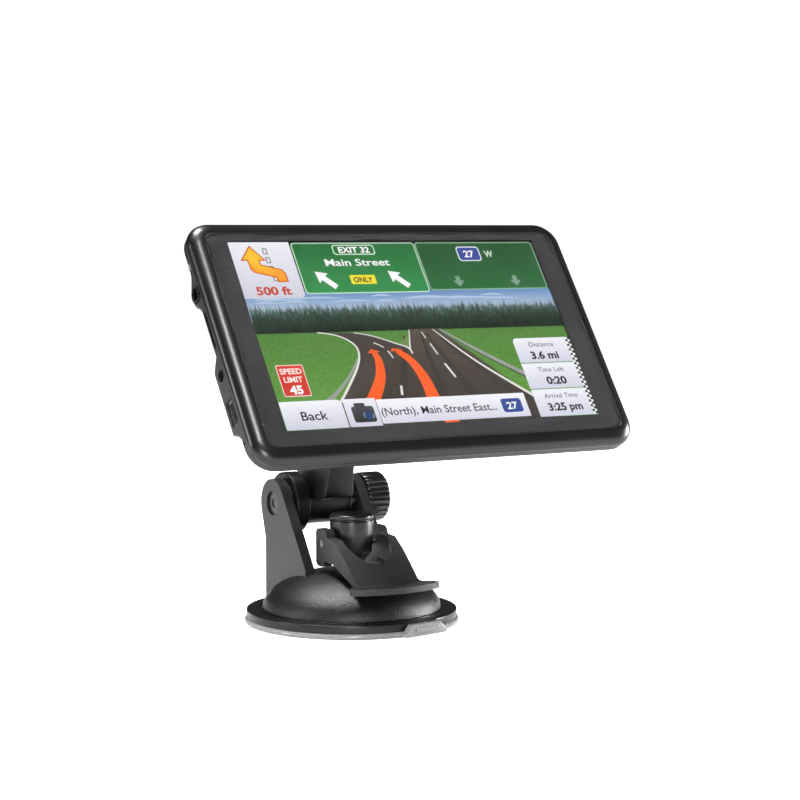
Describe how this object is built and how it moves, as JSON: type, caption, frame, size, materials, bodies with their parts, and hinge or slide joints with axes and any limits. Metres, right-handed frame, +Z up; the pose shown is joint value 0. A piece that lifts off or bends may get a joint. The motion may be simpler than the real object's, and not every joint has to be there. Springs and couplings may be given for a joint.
{
  "type": "portable gps navigator",
  "caption": "Portable gps navigator with a wide touch display, held by a clip and ball arm on a lever suction base.",
  "frame": {"origin": "centre of the suction cup's sealing face", "axes": "+Z up, away from the surface the cup holds; -Y towards the viewer, the way the screen faces; +X along the clamp bolt, to the viewer's right"},
  "size_m": [0.1321, 0.0985, 0.1263],
  "materials": {
    "bezel": "satin",
    "touch_glass": "gloss",
    "display": "gloss",
    "backlight": "satin",
    "plate": "satin",
    "board": "matte",
    "chips": "matte",
    "battery": "satin",
    "ceramic": "matte",
    "lens": "gloss",
    "jack": "satin",
    "card": "matte",
    "rear": "satin",
    "screws": "satin",
    "clip": "satin",
    "liner": "satin",
    "arm": "satin",
    "teeth": "matte",
    "fork": "satin",
    "fibre": "matte",
    "knob": "satin",
    "brass": "satin",
    "dome": "grained",
    "flange": "satin",
    "cup": "satin",
    "disc": "satin",
    "post": "satin",
    "spring": "satin",
    "lever": "grained"
  },
  "bodies": {
    "base": {"fork_bracket": "fork", "friction_washer": "fibre", "clamp_bolt": "screws", "thrust_washer": "screws", "base_cover": "dome", "base_plate": "flange", "base_screws": "screws", "suction_cup": "cup"},
    "plunger": {"plunger": "post", "cup_disc": "disc", "return_spring": "spring"},
    "lever": {"lever": "lever", "lever_pin": "screws"},
    "arm": {"neck_arm": "arm", "tooth_ring": "teeth"},
    "knob": {"knob": "knob", "knob_insert": "brass", "knob_cap": "fork"},
    "liner": {"socket_liner": "liner"},
    "unit": {"front_bezel": "bezel", "touch_glass": "touch_glass", "lcd_panel": "display", "backlight": "backlight", "mid_plate": "plate", "main_board": "board", "board_chips": "chips", "shield_can": "plate", "battery": "battery", "speaker": "plate", "gps_antenna": "ceramic", "microphone": "plate", "status_lens": "lens", "headphone_jack": "jack", "card_socket": "plate", "av_jack": "jack", "usb_port": "plate", "power_switch": "plate", "rear_cover": "rear", "cover_screws": "screws", "clip_plate": "clip"},
    "latch": {"latch_tab": "clip"},
    "button": {"power_button": "jack"},
    "card": {"memory_card": "card"}
  },
  "joints": [
    {"name": "plunger_drop", "type": "slide", "parent": "base", "child": "plunger", "axis": [0, 0, -1], "range_m": [0, 0.0024], "deforming": ["return_spring"]},
    {"name": "lever_turn", "type": "hinge", "parent": "plunger", "child": "lever", "pos_m": [0, 0, 0.0255], "axis": [-1, 0, 0], "range_deg": [0, 75]},
    {"name": "neck_tilt", "type": "hinge", "parent": "base", "child": "arm", "pos_m": [0, 0.025, 0.036], "axis": [-1, 0, 0], "range_deg": [-15, 60]},
    {"name": "knob_turn", "type": "hinge", "parent": "base", "child": "knob", "pos_m": [0.02, 0.025, 0.036], "axis": [1, 0, 0], "range_deg": [0, 360]},
    {"name": "ball_pan", "type": "hinge", "parent": "arm", "child": "liner", "pos_m": [0, -0.01981, 0.08033], "axis": [0, 0.5793, 0.8151], "range_deg": [-12, 12]},
    {"name": "ball_roll", "type": "hinge", "parent": "liner", "child": "unit", "pos_m": [0, -0.01981, 0.08033], "axis": [0, -0.8151, 0.5793], "range_deg": [-20, 90]},
    {"name": "latch_lift", "type": "hinge", "parent": "unit", "child": "latch", "pos_m": [0, -0.02108, 0.0984], "axis": [-1, 0, 0], "range_deg": [0, 8], "stiffness_Nm_per_rad": 0.5},
    {"name": "button_press", "type": "slide", "parent": "unit", "child": "button", "axis": [0, -0.5793, -0.8151], "range_m": [0, 0.0005], "stiffness_N_per_m": 1500},
    {"name": "card_slide", "type": "slide", "parent": "unit", "child": "card", "axis": [-1, 0, 0], "range_m": [0, 0.011]}
  ],
  "couplings": [
    {"joint": "lever_turn", "follows": "plunger_drop", "rad_per_m": 545.4}
  ]
}
